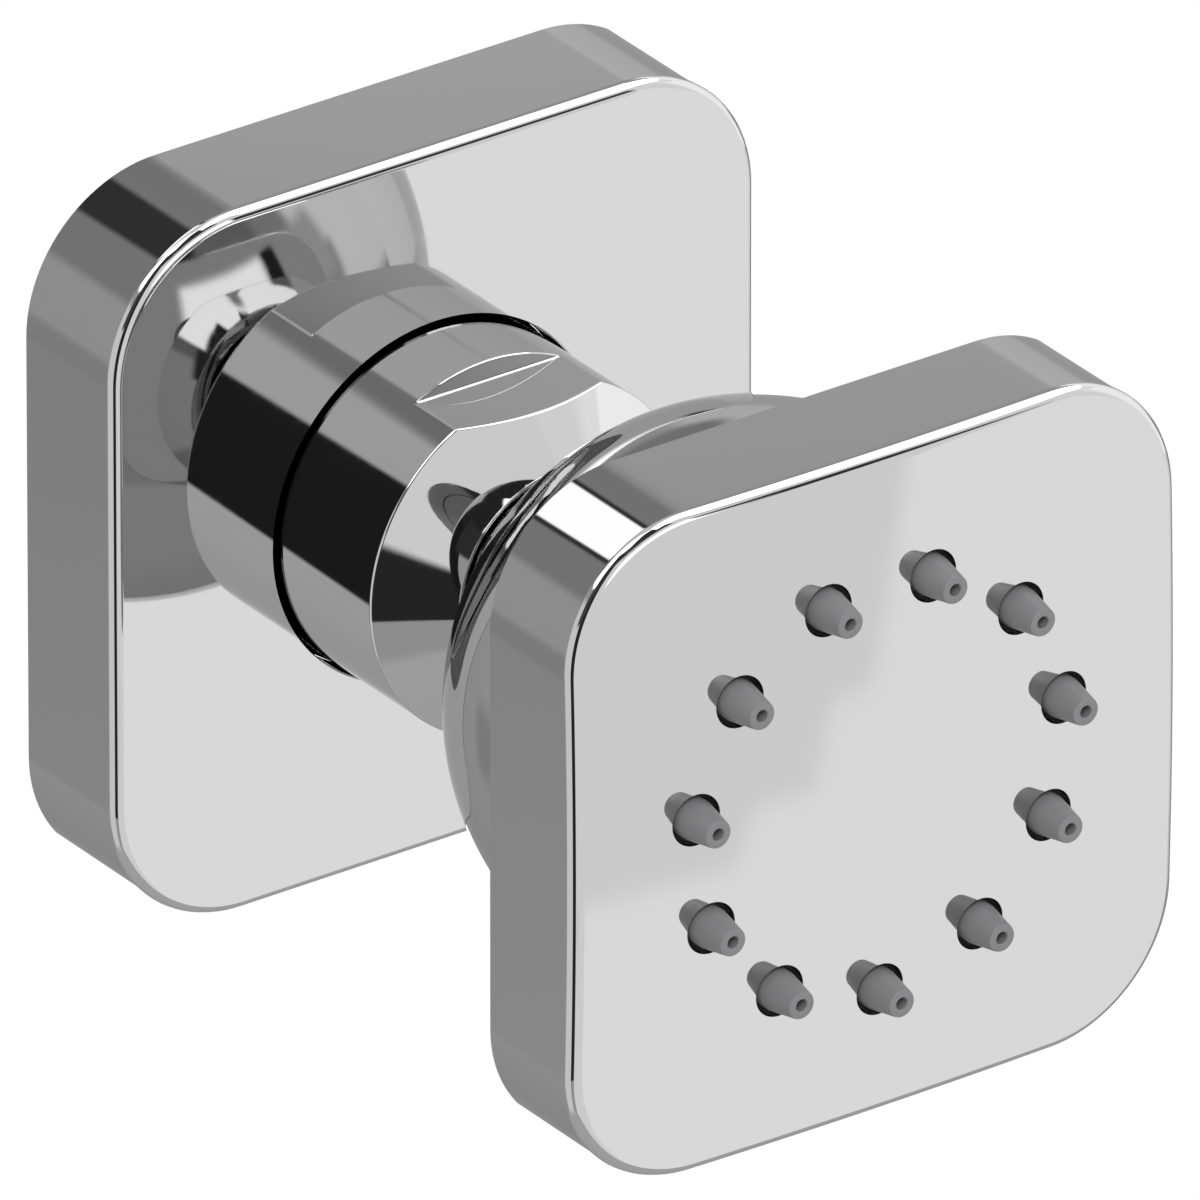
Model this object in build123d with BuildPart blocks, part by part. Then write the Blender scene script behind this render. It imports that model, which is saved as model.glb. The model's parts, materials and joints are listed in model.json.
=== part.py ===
"""Shower body jet: a square wall escutcheon, a short barrel with a swivel ball, and a square spray head.

Sizes are in millimetres. The wall plane is y = 0 and the room lies towards -Y, with +Z up. The jet's own
axis is the Y axis, and a "reach" below is a distance from the wall along that axis, towards the room.
"""

import os
from math import radians, sin, sqrt, tan

from build123d import *

# Wall escutcheon: a hollow square cover with a tube that slides on the barrel
escutcheon_side = 64.0
escutcheon_corner = 12.8
escutcheon_depth = 12.25
escutcheon_wall = 2.4
escutcheon_face = 2.2
guide_length = 7.0
guide_wall = 2.0
guide_gap = 0.4
edge_round = 1.0

# Wall gasket: a foam frame in a rebate at the back of the escutcheon
gasket_rebate = 0.9
gasket_thickness = 2.5
gasket_width = 3.2
gasket_fit = 0.1

# Barrel: the fixed body, with two wrench flats and a coned nose
barrel_radius = 15.75
barrel_show = 13.0
cone_angle = 52.0
nose_radius = 10.0
opening_radius = 8.0
chamber_radius = 10.5
flats_across = 28.0
flats_length = 5.65
guide_ring_groove = 1.35
guide_ring_groove_width = 2.0
guide_ring_set_back = 3.5
ring_squeeze_fit = 0.03

# Inlet adapter: a brass insert with the half-inch pipe thread, screwed into the back of the barrel
adapter_radius = 12.5
adapter_fit = 0.05
adapter_length = 13.4
pipe_thread_radius = 9.3
filter_radius = 9.0
adapter_flange = 1.2
hex_key_across = 10.0
adapter_rebate = 1.4
stack_fit = 0.1

# What the inlet holds: a washer, a debris screen and a flow regulator, stacked against the flange
washer_bore = 6.3
washer_thickness = 1.0
screen_thickness = 0.6
screen_hole_radius = 0.45
screen_hole_pitch = 1.5
screen_rings = 3
regulator_thickness = 1.6
regulator_hole_radius = 1.1
regulator_hole_circle = 4.6
regulator_holes = 6

# Swivel: a ball between a sprung seat behind it and a ring in front of it
ball_radius = 9.0
ball_set_back = 2.75
ball_fit = 0.08
ring_fit = 0.1
lip_gap = 0.4
seal_section = 0.55
seal_side_fit = 0.05
seat_bore = 7.0
seat_length = 5.9
spring_thickness = 0.6
spring_margin = 0.3
ball_tail = 7.8
stem_radius = 5.0
shank_radius = 3.95
shank_fit = 0.05
shank_length = 8.0
water_bore = 2.8

# Spray head, back cover: a dome that ends in a square plate
head_side = 60.0
head_corner = 12.0
head_depth = 12.33
head_wall = 1.8
swivel_gap = 1.83
dome_radius = 25.4
dome_wall = 2.2
dome_skirt = 5.1
dome_foot_round = 1.5
hub_radius = 7.5
hub_face_radius = 6.5
stem_washer_thickness = 1.0
stem_washer_fit = 0.1
cover_thickness = 2.4
cover_fit = 0.15

# Spray head, face: a square cup with a shallow dome on its front and a ring of nozzle holes
face_dome_radius = 508.0
face_thickness = 3.08
nozzle_count = 11
nozzle_circle = 18.4
nozzle_hole_radius = 2.3
nozzle_base_radius = 1.78
nozzle_tip_radius = 1.24
nozzle_reach = 3.1
jet_radius = 0.53
jet_length = 2.2
feed_radius = 1.1
mat_thickness = 1.5
mat_fit = 0.2
clamp_thickness = 2.0
chamber_gasket_thickness = 0.8

# Cover screws: four countersunk screws in bosses at the corners of the head
screw_spacing = 44.0
screw_radius = 1.25
screw_head_radius = 2.4
screw_length = 6.0
screw_fit = 0.05
screw_slot_width = 0.6
screw_slot_depth = 0.7
boss_radius = 3.2

# Reaches and radii worked out from the sizes above
barrel_rim = escutcheon_depth + barrel_show
barrel_nose = barrel_rim + (barrel_radius - nose_radius) / tan(radians(cone_angle))
guide_radius = barrel_radius + guide_gap
flange_back = adapter_length - adapter_flange
regulator_back = flange_back - regulator_thickness
screen_back = regulator_back - screen_thickness
pipe_thread_length = screen_back - washer_thickness
ball_centre = barrel_rim - ball_set_back
ball_seat_radius = ball_radius + ball_fit
lip_reach = ball_centre + sqrt(ball_radius**2 - opening_radius**2) + lip_gap
swivel_ring_radius = chamber_radius - ring_fit
seal_room = seal_section + seal_side_fit
seat_back = ball_centre - seal_room - seat_length
dome_centre = barrel_nose + swivel_gap + dome_radius
hub_face = dome_centre - sqrt(dome_radius**2 - hub_face_radius**2)
hub_seat = hub_face + stem_washer_thickness
hub_end = hub_seat + shank_length
dome_inner_radius = dome_radius - dome_wall
head_back = dome_centre + dome_skirt
face_apex = head_back + head_depth
face_inner = face_apex - face_thickness
mat_back = face_inner - mat_thickness
clamp_back = mat_back - clamp_thickness
chamber_gasket_back = clamp_back - chamber_gasket_thickness
boss_end = head_back + cover_thickness
spray_disc_radius = dome_radius - mat_fit
face_sag = face_dome_radius - sqrt(face_dome_radius**2 - nozzle_circle**2)
nozzle_root = face_apex - face_sag

# Sections are drawn with x as the radius and y as the reach, and turned about the jet's axis
SECTION = Plane((0, 0, 0), x_dir=(1, 0, 0), z_dir=(0, 0, -1))
# Outlines are drawn facing the room, with x to the right and y up, and extruded towards the room
FACING = Plane((0, 0, 0), x_dir=(1, 0, 0), z_dir=(0, -1, 0))
# Features cut from the wall side use the same x and look the other way
FROM_WALL = Plane((0, 0, 0), x_dir=(1, 0, 0), z_dir=(0, 1, 0))

BOTTOM_ANGLE = 270.0


def on_circle(radius, reach):
    """A point of a section at the ball's centre height plus reach, on a circle of that radius."""
    return (sqrt(radius**2 - reach**2), ball_centre + reach)


# Wall gasket
gasket_side = escutcheon_side - 2 * (escutcheon_wall - gasket_rebate + gasket_fit)
gasket_corner = escutcheon_corner - (escutcheon_wall - gasket_rebate + gasket_fit)
with BuildPart() as wall_gasket:
    with BuildSketch(FACING):
        RectangleRounded(gasket_side, gasket_side, gasket_corner)
        offset(amount=-gasket_width, mode=Mode.SUBTRACT)
    extrude(amount=gasket_thickness)

# Wall escutcheon
with BuildPart() as wall_escutcheon:
    with BuildSketch(FACING):
        RectangleRounded(escutcheon_side, escutcheon_side, escutcheon_corner)
    extrude(amount=escutcheon_depth)
    fillet(wall_escutcheon.faces().sort_by(Axis.Y)[0].edges(), edge_round)
    with BuildSketch(FACING):
        inner_side = escutcheon_side - 2 * escutcheon_wall
        RectangleRounded(inner_side, inner_side, escutcheon_corner - escutcheon_wall)
    extrude(amount=escutcheon_depth - escutcheon_face, mode=Mode.SUBTRACT)
    with BuildSketch(FACING):
        rebate_wall = escutcheon_wall - gasket_rebate
        rebate_side = escutcheon_side - 2 * rebate_wall
        RectangleRounded(rebate_side, rebate_side, escutcheon_corner - rebate_wall)
    extrude(amount=gasket_thickness, mode=Mode.SUBTRACT)
    with BuildSketch(FACING.offset(escutcheon_depth - guide_length)):
        Circle(guide_radius + guide_wall)
    extrude(amount=guide_length - escutcheon_face / 2)
    with BuildSketch(FACING):
        Circle(guide_radius)
    extrude(amount=escutcheon_depth, mode=Mode.SUBTRACT)

# Barrel
guide_ring_reach = escutcheon_depth - guide_ring_set_back
groove_radius = barrel_radius - guide_ring_groove
with BuildPart() as barrel:
    with BuildSketch(SECTION) as barrel_section:
        with BuildLine():
            Polyline(
                (adapter_radius, 0),
                (barrel_radius, 0),
                (barrel_radius, barrel_rim),
                (nose_radius, barrel_nose),
                (opening_radius, barrel_nose),
                (opening_radius, lip_reach),
                (chamber_radius, lip_reach),
                (chamber_radius, adapter_length),
                (adapter_radius, adapter_length),
                close=True,
            )
        make_face()
        with Locations((groove_radius, guide_ring_reach)):
            Rectangle(
                2 * guide_ring_groove,
                guide_ring_groove_width,
                align=(Align.MIN, Align.CENTER),
                mode=Mode.SUBTRACT,
            )
    revolve(axis=Axis.Y)
    with BuildSketch(FACING.offset(barrel_rim - flats_length)):
        with Locations((0, flats_across / 2), (0, -flats_across / 2 - barrel_radius)):
            Rectangle(2 * barrel_radius, barrel_radius, align=(Align.CENTER, Align.MIN))
    extrude(amount=flats_length + barrel_nose - barrel_rim, mode=Mode.SUBTRACT)

# O-ring that grips the escutcheon on the barrel
guide_ring_section = (guide_radius - groove_radius) / 2 - ring_squeeze_fit
with BuildPart() as escutcheon_o_ring:
    with BuildSketch(SECTION):
        with Locations(((guide_radius + groove_radius) / 2, guide_ring_reach)):
            Circle(guide_ring_section)
    revolve(axis=Axis.Y)

# Inlet adapter
with BuildPart() as inlet_adapter:
    with BuildSketch(SECTION):
        with BuildLine():
            Polyline(
                (0, adapter_length),
                (0, flange_back),
                (filter_radius, flange_back),
                (filter_radius, pipe_thread_length),
                (pipe_thread_radius, pipe_thread_length),
                (pipe_thread_radius, 0),
                (adapter_radius - adapter_fit, 0),
                (adapter_radius - adapter_fit, adapter_length - adapter_rebate),
                (adapter_radius - adapter_rebate, adapter_length - adapter_rebate),
                (adapter_radius - adapter_rebate, adapter_length),
                close=True,
            )
        make_face()
    revolve(axis=Axis.Y)
    with BuildSketch(FACING.offset(flange_back)):
        RegularPolygon(hex_key_across / 2, 6, major_radius=False)
    extrude(amount=adapter_flange, mode=Mode.SUBTRACT)

# O-ring between the adapter and the barrel's step
adapter_ring_section = adapter_rebate / 2 - ring_squeeze_fit
with BuildPart() as adapter_o_ring:
    with BuildSketch(SECTION):
        with Locations((adapter_radius - adapter_rebate / 2, adapter_length - adapter_rebate / 2)):
            Circle(adapter_ring_section)
    revolve(axis=Axis.Y)

# Flow regulator, debris screen and inlet washer, from the flange back towards the wall
filter_disc_radius = filter_radius - stack_fit
with BuildPart() as flow_regulator:
    with BuildSketch(FACING.offset(regulator_back)):
        Circle(filter_disc_radius)
        with PolarLocations(regulator_hole_circle, regulator_holes):
            Circle(regulator_hole_radius, mode=Mode.SUBTRACT)
    extrude(amount=regulator_thickness)

with BuildPart() as debris_screen:
    with BuildSketch(FACING.offset(screen_back)):
        Circle(filter_disc_radius)
        Circle(screen_hole_radius, mode=Mode.SUBTRACT)
        for ring in range(1, screen_rings + 1):
            with PolarLocations(ring * screen_hole_pitch, 6 * ring):
                Circle(screen_hole_radius, mode=Mode.SUBTRACT)
    extrude(amount=screen_thickness)

with BuildPart() as inlet_washer:
    with BuildSketch(FACING.offset(pipe_thread_length)):
        Circle(filter_disc_radius)
        Circle(washer_bore, mode=Mode.SUBTRACT)
    extrude(amount=washer_thickness)

# Disc spring that pushes the seat against the ball
spring_front = seat_back - stack_fit
with BuildPart() as seat_spring:
    with BuildSketch(SECTION):
        with BuildLine():
            spring_outer = chamber_radius - spring_margin
            Polyline(
                (spring_outer, adapter_length),
                (spring_outer, adapter_length + spring_thickness),
                (seat_bore + spring_margin, spring_front),
                (seat_bore + spring_margin, spring_front - spring_thickness),
                close=True,
            )
        make_face()
    revolve(axis=Axis.Y)

# Ball seat, behind the ball
seat_front_point = on_circle(ball_seat_radius, -seal_room)
seat_back_point = on_circle(ball_seat_radius, -sqrt(ball_seat_radius**2 - seat_bore**2))
with BuildPart() as ball_seat:
    with BuildSketch(SECTION):
        with BuildLine():
            RadiusArc(seat_front_point, seat_back_point, ball_seat_radius)
            Polyline(
                seat_back_point,
                (seat_bore, seat_back),
                (swivel_ring_radius, seat_back),
                (swivel_ring_radius, ball_centre - seal_room),
                seat_front_point,
            )
        make_face()
    revolve(axis=Axis.Y)

# O-ring round the ball's middle
with BuildPart() as ball_seal:
    with BuildSketch(SECTION):
        with Locations((ball_seat_radius + seal_section, ball_centre)):
            Circle(seal_section)
    revolve(axis=Axis.Y)

# Ring in front of the ball, held by the barrel's lip
ring_back_point = on_circle(ball_seat_radius, seal_room)
ring_front_point = on_circle(ball_seat_radius, sqrt(ball_seat_radius**2 - opening_radius**2))
with BuildPart() as front_ball_ring:
    with BuildSketch(SECTION):
        with BuildLine():
            RadiusArc(ring_back_point, ring_front_point, -ball_seat_radius)
            Polyline(
                ring_front_point,
                (opening_radius, lip_reach),
                (swivel_ring_radius, lip_reach),
                (swivel_ring_radius, ball_centre + seal_room),
                ring_back_point,
            )
        make_face()
    revolve(axis=Axis.Y)

# Swivel ball with its stem and threaded shank
ball_tail_point = on_circle(ball_radius, -ball_tail)
ball_stem_point = on_circle(ball_radius, sqrt(ball_radius**2 - stem_radius**2))
with BuildPart() as swivel_ball:
    with BuildSketch(SECTION):
        with BuildLine():
            ThreePointArc(ball_tail_point, (ball_radius, ball_centre), ball_stem_point)
            Polyline(
                ball_stem_point,
                (stem_radius, hub_face),
                (shank_radius, hub_face),
                (shank_radius, hub_end),
                (water_bore, hub_end),
                (water_bore, ball_centre - ball_tail),
                ball_tail_point,
            )
        make_face()
    revolve(axis=Axis.Y)

# Washer under the stem's shoulder
with BuildPart() as stem_washer:
    with BuildSketch(FACING.offset(hub_face)):
        Circle(stem_radius + stem_washer_fit)
        Circle(shank_radius + shank_fit, mode=Mode.SUBTRACT)
    extrude(amount=stem_washer_thickness)

# Back cover of the head
cover_side = head_side - 2 * (head_wall + cover_fit)
cover_corner = head_corner - head_wall - cover_fit
hub_root = dome_centre - sqrt(dome_inner_radius**2 - hub_radius**2)
dome_middle = sin(radians(45))
with BuildPart() as back_cover:
    with BuildSketch(SECTION):
        with BuildLine():
            Polyline(
                (shank_radius + shank_fit, hub_end),
                (shank_radius + shank_fit, hub_seat),
                (stem_radius + 2 * stem_washer_fit, hub_seat),
                (stem_radius + 2 * stem_washer_fit, hub_face),
                (hub_face_radius, hub_face),
            )
            ThreePointArc(
                (hub_face_radius, hub_face),
                (dome_radius * dome_middle, dome_centre - dome_radius * dome_middle),
                (dome_radius, dome_centre),
            )
            Polyline(
                (dome_radius, dome_centre),
                (dome_radius, chamber_gasket_back),
                (dome_inner_radius, chamber_gasket_back),
                (dome_inner_radius, dome_centre),
            )
            ThreePointArc(
                (dome_inner_radius, dome_centre),
                (dome_inner_radius * dome_middle, dome_centre - dome_inner_radius * dome_middle),
                (hub_radius, hub_root),
            )
            Polyline(
                (hub_radius, hub_root),
                (hub_radius, hub_end),
                (shank_radius + shank_fit, hub_end),
            )
        make_face()
    revolve(axis=Axis.Y)
    with BuildSketch(FACING.offset(head_back)):
        RectangleRounded(cover_side, cover_side, cover_corner)
        Circle(dome_radius - dome_wall / 2, mode=Mode.SUBTRACT)
    extrude(amount=cover_thickness)
    foot_edges = back_cover.edges().filter_by(GeomType.CIRCLE)
    foot_edges = [
        edge
        for edge in foot_edges
        if abs(edge.radius - dome_radius) < 1e-6 and abs(edge.arc_center.Y + head_back) < 1e-6
    ]
    fillet(foot_edges, dome_foot_round)
    with Locations(FROM_WALL.offset(-head_back)):
        with GridLocations(screw_spacing, screw_spacing, 2, 2):
            CounterSinkHole(
                radius=screw_radius + screw_fit,
                counter_sink_radius=screw_head_radius + screw_fit,
                depth=cover_thickness,
            )

# Gasket between the cover's skirt and the clamp plate
with BuildPart() as chamber_gasket:
    with BuildSketch(FACING.offset(chamber_gasket_back)):
        Circle(spray_disc_radius)
        Circle(dome_inner_radius, mode=Mode.SUBTRACT)
    extrude(amount=chamber_gasket_thickness)

# Clamp plate behind the nozzle mat
with BuildPart() as clamp_plate:
    with BuildSketch(FACING.offset(clamp_back)):
        Circle(spray_disc_radius)
        with PolarLocations(nozzle_circle, nozzle_count, start_angle=BOTTOM_ANGLE):
            Circle(nozzle_base_radius, mode=Mode.SUBTRACT)
    extrude(amount=clamp_thickness)

# Nozzle mat: one silicone moulding
nozzle_tip = nozzle_root + nozzle_reach
with BuildPart() as nozzle_mat:
    with BuildSketch(FACING.offset(mat_back)):
        Circle(spray_disc_radius)
    extrude(amount=mat_thickness)
    with Locations(FACING.offset(face_inner)):
        with PolarLocations(nozzle_circle, nozzle_count, start_angle=BOTTOM_ANGLE):
            Cylinder(
                nozzle_base_radius,
                nozzle_root - face_inner,
                align=(Align.CENTER, Align.CENTER, Align.MIN),
            )
    with Locations(FACING.offset(nozzle_root)):
        with PolarLocations(nozzle_circle, nozzle_count, start_angle=BOTTOM_ANGLE):
            Cone(
                nozzle_base_radius,
                nozzle_tip_radius,
                nozzle_reach,
                align=(Align.CENTER, Align.CENTER, Align.MIN),
            )
    with BuildSketch(FACING.offset(mat_back)):
        with PolarLocations(nozzle_circle, nozzle_count, start_angle=BOTTOM_ANGLE):
            Circle(feed_radius)
    extrude(amount=nozzle_tip - jet_length - mat_back, mode=Mode.SUBTRACT)
    with BuildSketch(FACING.offset(mat_back)):
        with PolarLocations(nozzle_circle, nozzle_count, start_angle=BOTTOM_ANGLE):
            Circle(jet_radius)
    extrude(amount=nozzle_tip - mat_back, mode=Mode.SUBTRACT)

# Face cup: the front and the four sides of the head
with BuildPart() as face_cup:
    with BuildSketch(FACING.offset(head_back)):
        RectangleRounded(head_side, head_side, head_corner)
    extrude(amount=head_depth)
    with Locations((0, face_dome_radius - face_apex, 0)):
        Sphere(face_dome_radius, mode=Mode.INTERSECT)
    fillet(face_cup.faces().filter_by(GeomType.SPHERE).edges(), edge_round)
    with BuildSketch(FACING.offset(head_back)):
        cup_side = head_side - 2 * head_wall
        RectangleRounded(cup_side, cup_side, head_corner - head_wall)
    extrude(amount=face_inner - head_back, mode=Mode.SUBTRACT)
    with BuildSketch(FACING.offset(boss_end)):
        with GridLocations(screw_spacing, screw_spacing, 2, 2):
            Circle(boss_radius)
    extrude(amount=face_inner - boss_end)
    with BuildSketch(FACING.offset(boss_end)):
        with GridLocations(screw_spacing, screw_spacing, 2, 2):
            Circle(screw_radius + screw_fit)
    extrude(amount=screw_length + 2 * screw_fit - cover_thickness, mode=Mode.SUBTRACT)
    with BuildSketch(FACING.offset(face_inner)):
        with PolarLocations(nozzle_circle, nozzle_count, start_angle=BOTTOM_ANGLE):
            Circle(nozzle_hole_radius)
    extrude(amount=face_thickness, mode=Mode.SUBTRACT)

# Cover screws, four alike
head_cone = screw_head_radius - screw_radius
with BuildPart() as cover_screws:
    with Locations(FACING.offset(head_back)):
        with GridLocations(screw_spacing, screw_spacing, 2, 2):
            Cylinder(screw_radius, screw_length, align=(Align.CENTER, Align.CENTER, Align.MIN))
            Cone(screw_head_radius, screw_radius, head_cone, align=(Align.CENTER, Align.CENTER, Align.MIN))
    with BuildSketch(FACING.offset(head_back)):
        with GridLocations(screw_spacing, screw_spacing, 2, 2):
            Rectangle(2 * screw_radius, screw_slot_width)
            Rectangle(screw_slot_width, 2 * screw_radius)
    extrude(amount=screw_slot_depth, mode=Mode.SUBTRACT)

pieces = {
    "wall_gasket": wall_gasket,
    "wall_escutcheon": wall_escutcheon,
    "escutcheon_o_ring": escutcheon_o_ring,
    "barrel": barrel,
    "inlet_adapter": inlet_adapter,
    "adapter_o_ring": adapter_o_ring,
    "inlet_washer": inlet_washer,
    "debris_screen": debris_screen,
    "flow_regulator": flow_regulator,
    "seat_spring": seat_spring,
    "ball_seat": ball_seat,
    "ball_seal": ball_seal,
    "front_ball_ring": front_ball_ring,
    "swivel_ball": swivel_ball,
    "stem_washer": stem_washer,
    "back_cover": back_cover,
    "cover_screws": cover_screws,
    "chamber_gasket": chamber_gasket,
    "clamp_plate": clamp_plate,
    "nozzle_mat": nozzle_mat,
    "face_cup": face_cup,
}
os.makedirs("parts", exist_ok=True)
for name, piece in pieces.items():
    piece.part.label = name
    export_step(piece.part, f"parts/{name}.step")
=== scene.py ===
import json
from math import acos, cos, pi, radians, sin, sqrt

import bpy
from mathutils import Matrix, Vector


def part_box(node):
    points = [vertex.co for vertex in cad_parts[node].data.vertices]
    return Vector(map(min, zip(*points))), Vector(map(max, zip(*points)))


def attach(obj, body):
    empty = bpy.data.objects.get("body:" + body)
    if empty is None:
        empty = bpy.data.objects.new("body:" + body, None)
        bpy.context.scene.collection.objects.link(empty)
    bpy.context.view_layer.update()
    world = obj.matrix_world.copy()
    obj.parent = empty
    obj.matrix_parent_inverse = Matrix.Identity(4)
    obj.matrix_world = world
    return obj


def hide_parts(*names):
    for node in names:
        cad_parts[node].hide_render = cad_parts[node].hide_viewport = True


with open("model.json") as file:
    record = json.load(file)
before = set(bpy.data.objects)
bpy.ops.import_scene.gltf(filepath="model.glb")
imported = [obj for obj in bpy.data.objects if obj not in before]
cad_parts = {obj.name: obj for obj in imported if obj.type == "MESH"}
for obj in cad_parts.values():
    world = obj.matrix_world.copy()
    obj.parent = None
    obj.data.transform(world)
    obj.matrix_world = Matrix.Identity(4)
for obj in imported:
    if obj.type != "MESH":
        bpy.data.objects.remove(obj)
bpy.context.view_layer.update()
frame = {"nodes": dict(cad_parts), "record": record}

# Wall escutcheon
# A hollow square cover, pressed in brass and mirror chromed, with a rolled front edge.
# It slides on the barrel by a short tube behind its round hole and hides the hole in the wall.

MM = 0.001
ROOM = -1.0
CLOSE = 0.001 * MM
FRONT_FACING = 0.9
SHARP_ANGLE = radians(30)


def deselect():
    """Leaves nothing selected, because an operator acts on all that is."""
    if bpy.context.object and bpy.context.object.mode != "OBJECT":
        bpy.ops.object.mode_set(mode="OBJECT")
    bpy.ops.object.select_all(action="DESELECT")


def named(name):
    """Names the new primitive and its mesh, and bakes its place into the mesh."""
    piece = bpy.context.object
    piece.name = name
    piece.data.name = name
    bpy.ops.object.transform_apply(location=True, rotation=True, scale=True)
    return piece


def select_edges(piece, wanted):
    """Selects the edges whose two ends satisfy wanted(a, b), in edit mode."""
    bpy.ops.object.mode_set(mode="EDIT")
    bpy.ops.mesh.select_mode(type="EDGE")
    bpy.ops.mesh.select_all(action="DESELECT")
    bpy.ops.object.mode_set(mode="OBJECT")
    points = [v.co.copy() for v in piece.data.vertices]
    for edge in piece.data.edges:
        edge.select = bool(wanted(points[edge.vertices[0]], points[edge.vertices[1]]))
    bpy.ops.object.mode_set(mode="EDIT")


def select_front(piece):
    """Selects the faces that look straight into the room, in edit mode."""
    bpy.ops.object.mode_set(mode="EDIT")
    bpy.ops.mesh.select_mode(type="FACE")
    bpy.ops.mesh.select_all(action="DESELECT")
    bpy.ops.object.mode_set(mode="OBJECT")
    for face in piece.data.polygons:
        face.select = face.normal.y * ROOM > FRONT_FACING
    bpy.ops.object.mode_set(mode="EDIT")


def rounded_block(name, side, corner, back, front, steps=24, cuts=0):
    """A square block with rounded corners between two reaches from the wall, in metres.

    Its straight sides may be cut into strips, where the block is bent later."""
    deselect()
    bpy.ops.mesh.primitive_cube_add(
        size=1.0,
        location=(0, ROOM * (back + front) / 2, 0),
        scale=(side, front - back, side),
    )
    block = named(name)
    select_edges(block, lambda a, b: abs(a.y - b.y) > (front - back) / 2)
    bpy.ops.mesh.bevel(
        offset=corner, offset_type="OFFSET", segments=steps, profile=0.5, affect="EDGES"
    )
    bpy.ops.object.mode_set(mode="OBJECT")
    if cuts:
        select_edges(block, lambda a, b: abs(a.y - b.y) < CLOSE and (a - b).length > corner)
        bpy.ops.mesh.subdivide(number_cuts=cuts)
        bpy.ops.object.mode_set(mode="OBJECT")
    return block


def drum(name, radius, back, front, around=128, flare=0.0):
    """A round bar on the jet's axis.

    Its front end may flare, to break the edge of a hole that it cuts."""
    deselect()
    bpy.ops.mesh.primitive_cylinder_add(
        vertices=around,
        radius=radius,
        depth=front - back,
        location=(0, ROOM * (back + front) / 2, 0),
        rotation=(pi / 2, 0, 0),
    )
    bar = named(name)
    if flare:
        select_front(bar)
        spread = (radius + flare) / radius
        bpy.ops.mesh.extrude_region_move(TRANSFORM_OT_translate={"value": (0, ROOM * flare, 0)})
        bpy.ops.transform.resize(value=(spread, 1, spread), center_override=(0, ROOM * front, 0))
        bpy.ops.mesh.extrude_region_move(TRANSFORM_OT_translate={"value": (0, ROOM * radius, 0)})
        bpy.ops.object.mode_set(mode="OBJECT")
    return bar


def combine(piece, tool, operation):
    """Joins or cuts piece with tool, which is used up."""
    deselect()
    bpy.context.view_layer.objects.active = piece
    piece.select_set(True)
    modifier = piece.modifiers.new("combine", "BOOLEAN")
    modifier.operation = operation
    modifier.solver = "EXACT"
    modifier.object = tool
    bpy.ops.object.modifier_apply(modifier=modifier.name)
    bpy.data.objects.remove(tool)


def smooth(piece):
    """Shades curved faces smooth and flat faces flat, and keeps sharp edges sharp."""
    deselect()
    bpy.context.view_layer.objects.active = piece
    piece.select_set(True)
    bpy.ops.object.shade_smooth_by_angle(angle=SHARP_ANGLE)
    flat_first = piece.modifiers.new("flat_first", "WEIGHTED_NORMAL")
    flat_first.weight = 100
    flat_first.keep_sharp = True
    bpy.ops.object.modifier_apply(modifier=flat_first.name)


ESCUTCHEON_CORNER = 12.8 * MM
ESCUTCHEON_WALL = 2.4 * MM
ESCUTCHEON_FACE = 2.2 * MM
ESCUTCHEON_REBATE = 0.9 * MM
GUIDE_GAP = 0.4 * MM
GUIDE_WALL = 2.0 * MM
GUIDE_LENGTH = 7.0 * MM
FRONT_ROUND = 1.0 * MM
ROUND_STEPS = 8
HOLE_BREAK = 0.12 * MM
PAST = 2.0 * MM

escutcheon_low, escutcheon_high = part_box("wall_escutcheon")
escutcheon_side = escutcheon_high.x - escutcheon_low.x
escutcheon_depth = -escutcheon_low.y
gasket_depth = -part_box("wall_gasket")[0].y
barrel_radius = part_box("barrel")[1].x
guide_radius = barrel_radius + GUIDE_GAP

escutcheon = rounded_block(
    "escutcheon_shell", escutcheon_side, ESCUTCHEON_CORNER, 0.0, escutcheon_depth
)
select_edges(escutcheon, lambda a, b: min(-a.y, -b.y) > escutcheon_depth - CLOSE)
bpy.ops.mesh.bevel(offset=FRONT_ROUND, segments=ROUND_STEPS, profile=0.5, affect="EDGES")
bpy.ops.object.mode_set(mode="OBJECT")
escutcheon_cavity = rounded_block(
    "escutcheon_cavity",
    escutcheon_side - 2 * ESCUTCHEON_WALL,
    ESCUTCHEON_CORNER - ESCUTCHEON_WALL,
    -PAST,
    escutcheon_depth - ESCUTCHEON_FACE,
)
combine(escutcheon, escutcheon_cavity, "DIFFERENCE")
rebate_wall = ESCUTCHEON_WALL - ESCUTCHEON_REBATE
escutcheon_rebate = rounded_block(
    "escutcheon_rebate",
    escutcheon_side - 2 * rebate_wall,
    ESCUTCHEON_CORNER - rebate_wall,
    -PAST,
    gasket_depth,
)
combine(escutcheon, escutcheon_rebate, "DIFFERENCE")
guide_tube = drum(
    "guide_tube",
    guide_radius + GUIDE_WALL,
    escutcheon_depth - GUIDE_LENGTH,
    escutcheon_depth - ESCUTCHEON_FACE / 2,
)
combine(escutcheon, guide_tube, "UNION")
guide_hole = drum(
    "guide_hole", guide_radius, -PAST, escutcheon_depth - HOLE_BREAK, flare=HOLE_BREAK
)
combine(escutcheon, guide_hole, "DIFFERENCE")
smooth(escutcheon)
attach(escutcheon, "wall_body")
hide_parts("wall_escutcheon")


def new_material(name):
    """An empty node material with its Principled shader and output."""
    material = bpy.data.materials.new(name)
    material.use_nodes = True
    return material, material.node_tree.nodes["Principled BSDF"]


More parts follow.
